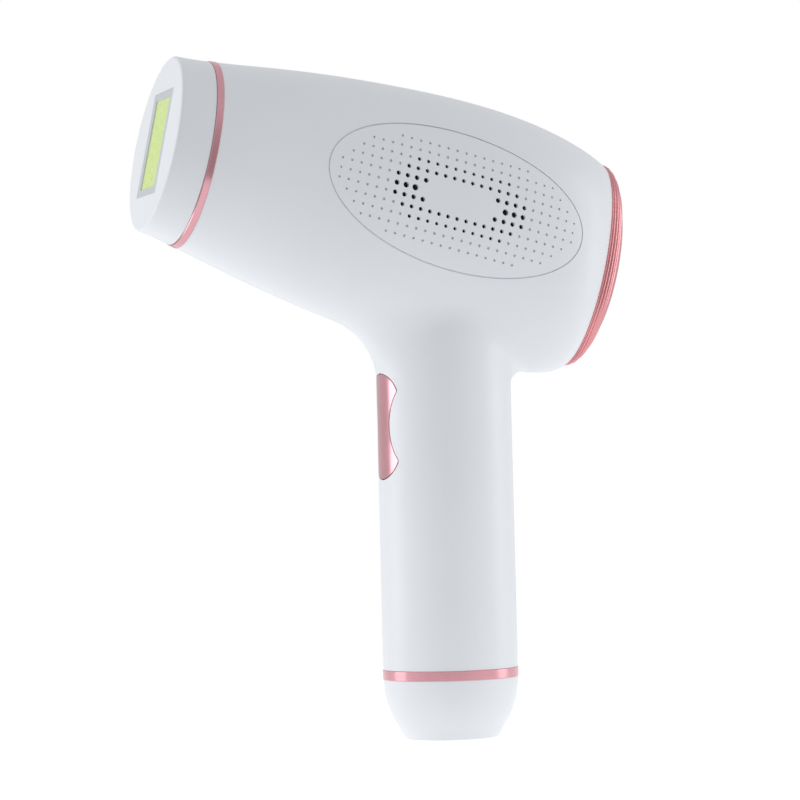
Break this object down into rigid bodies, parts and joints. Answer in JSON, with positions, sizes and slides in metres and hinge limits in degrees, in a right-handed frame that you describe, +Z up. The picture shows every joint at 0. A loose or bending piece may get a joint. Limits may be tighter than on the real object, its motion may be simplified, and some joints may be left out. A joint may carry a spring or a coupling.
{
  "type": "light-pulse hair remover",
  "caption": "Handheld light-pulse hair remover: tilted oval barrel on a straight handle, perforated side grilles, plug-in lamp cartridge, trigger and rear control panel.",
  "frame": {"origin": "centre of the flat base under the handle", "axes": "+Z up the handle, -X towards the lamp window, +Y the right side as the user holds it"},
  "size_m": [0.1537, 0.0528, 0.2014],
  "materials": {
    "white_shell": "satin moulded plastic, cool white",
    "white_gloss": "gloss moulded plastic, cool white",
    "rose_gold": "rose-gold metallic, satin",
    "frame_grey": "light grey",
    "filter_green": "yellow-green filter glass",
    "quartz": "clear quartz",
    "reflector_metal": "polished",
    "bright_metal": "bare",
    "contact_brass": "plated",
    "steel": "bright",
    "screen_black": "fine black dust mesh",
    "black_plastic": "black",
    "board_green": "green circuit board",
    "copper": "enamelled copper wire",
    "ferrite": "dark ferrite",
    "can_sleeve": "dark sleeve",
    "red_lead": "silicone insulation",
    "grey_lead": "insulation",
    "socket_plastic": "dark heat-resistant plastic",
    "light_pipe": "clear light pipe",
    "holder_silicone": "silicone"
  },
  "bodies": {
    "handset": {"left_housing": "white_shell", "right_housing": "white_shell", "left_grille": "white_shell", "right_grille": "white_shell", "left_dust_screen": "screen_black", "right_dust_screen": "screen_black", "front_trim_ring": "rose_gold", "rear_trim_ring": "rose_gold", "control_panel": "white_gloss", "level_lights": "light_pipe", "control_board": "board_green", "panel_switch": "black_plastic", "handle_ring": "rose_gold", "base_cap": "white_shell", "base_screws": "steel", "housing_screws": "steel", "dc_jack": "black_plastic", "dc_pin": "contact_brass", "flash_capacitor": "can_sleeve", "main_board": "board_green", "trigger_switch": "black_plastic", "transformer_core": "ferrite", "transformer_coil": "copper", "power_transistor": "black_plastic", "ignition_board": "board_green", "ignition_coil": "copper", "trigger_capacitor": "black_plastic", "cartridge_socket": "socket_plastic", "socket_contacts": "contact_brass", "heat_sink": "bright_metal", "fan_frame": "black_plastic", "lamp_leads": "red_lead", "inlet_leads": "grey_lead", "fan_lead": "grey_lead", "panel_cable": "grey_lead", "trigger_springs": "steel"},
    "trigger": {"trigger_button": "rose_gold", "switch_plunger": "black_plastic"},
    "level_button": {"level_button": "rose_gold"},
    "fan_rotor": {"fan_rotor": "black_plastic"},
    "lamp_cartridge": {"cartridge_shell": "white_shell", "window_frame": "frame_grey", "filter_glass": "filter_green", "lamp_carrier": "socket_plastic", "contact_pins": "contact_brass", "flash_tube": "quartz", "tube_electrodes": "steel", "tube_holders": "holder_silicone", "reflector": "reflector_metal"}
  },
  "joints": [
    {"name": "trigger_press", "type": "slide", "parent": "handset", "child": "trigger", "axis": [1, 0, 0], "range_m": [0, 0.0008], "stiffness_N_per_m": 2000, "springref_m": -0.0006, "deforming": ["trigger_springs"]},
    {"name": "level_button_press", "type": "slide", "parent": "handset", "child": "level_button", "axis": [-0.9816, 0, 0.1908], "range_m": [0, 0.0006], "stiffness_N_per_m": 2000, "springref_m": -0.0004},
    {"name": "fan_spin", "type": "hinge", "parent": "handset", "child": "fan_rotor", "pos_m": [-0.0044, 0, 0.15855], "axis": [0, 1, 0], "continuous": true},
    {"name": "cartridge_pull", "type": "slide", "parent": "handset", "child": "lamp_cartridge", "axis": [-0.9781, 0, 0.2079], "range_m": [0, 0.03]}
  ]
}
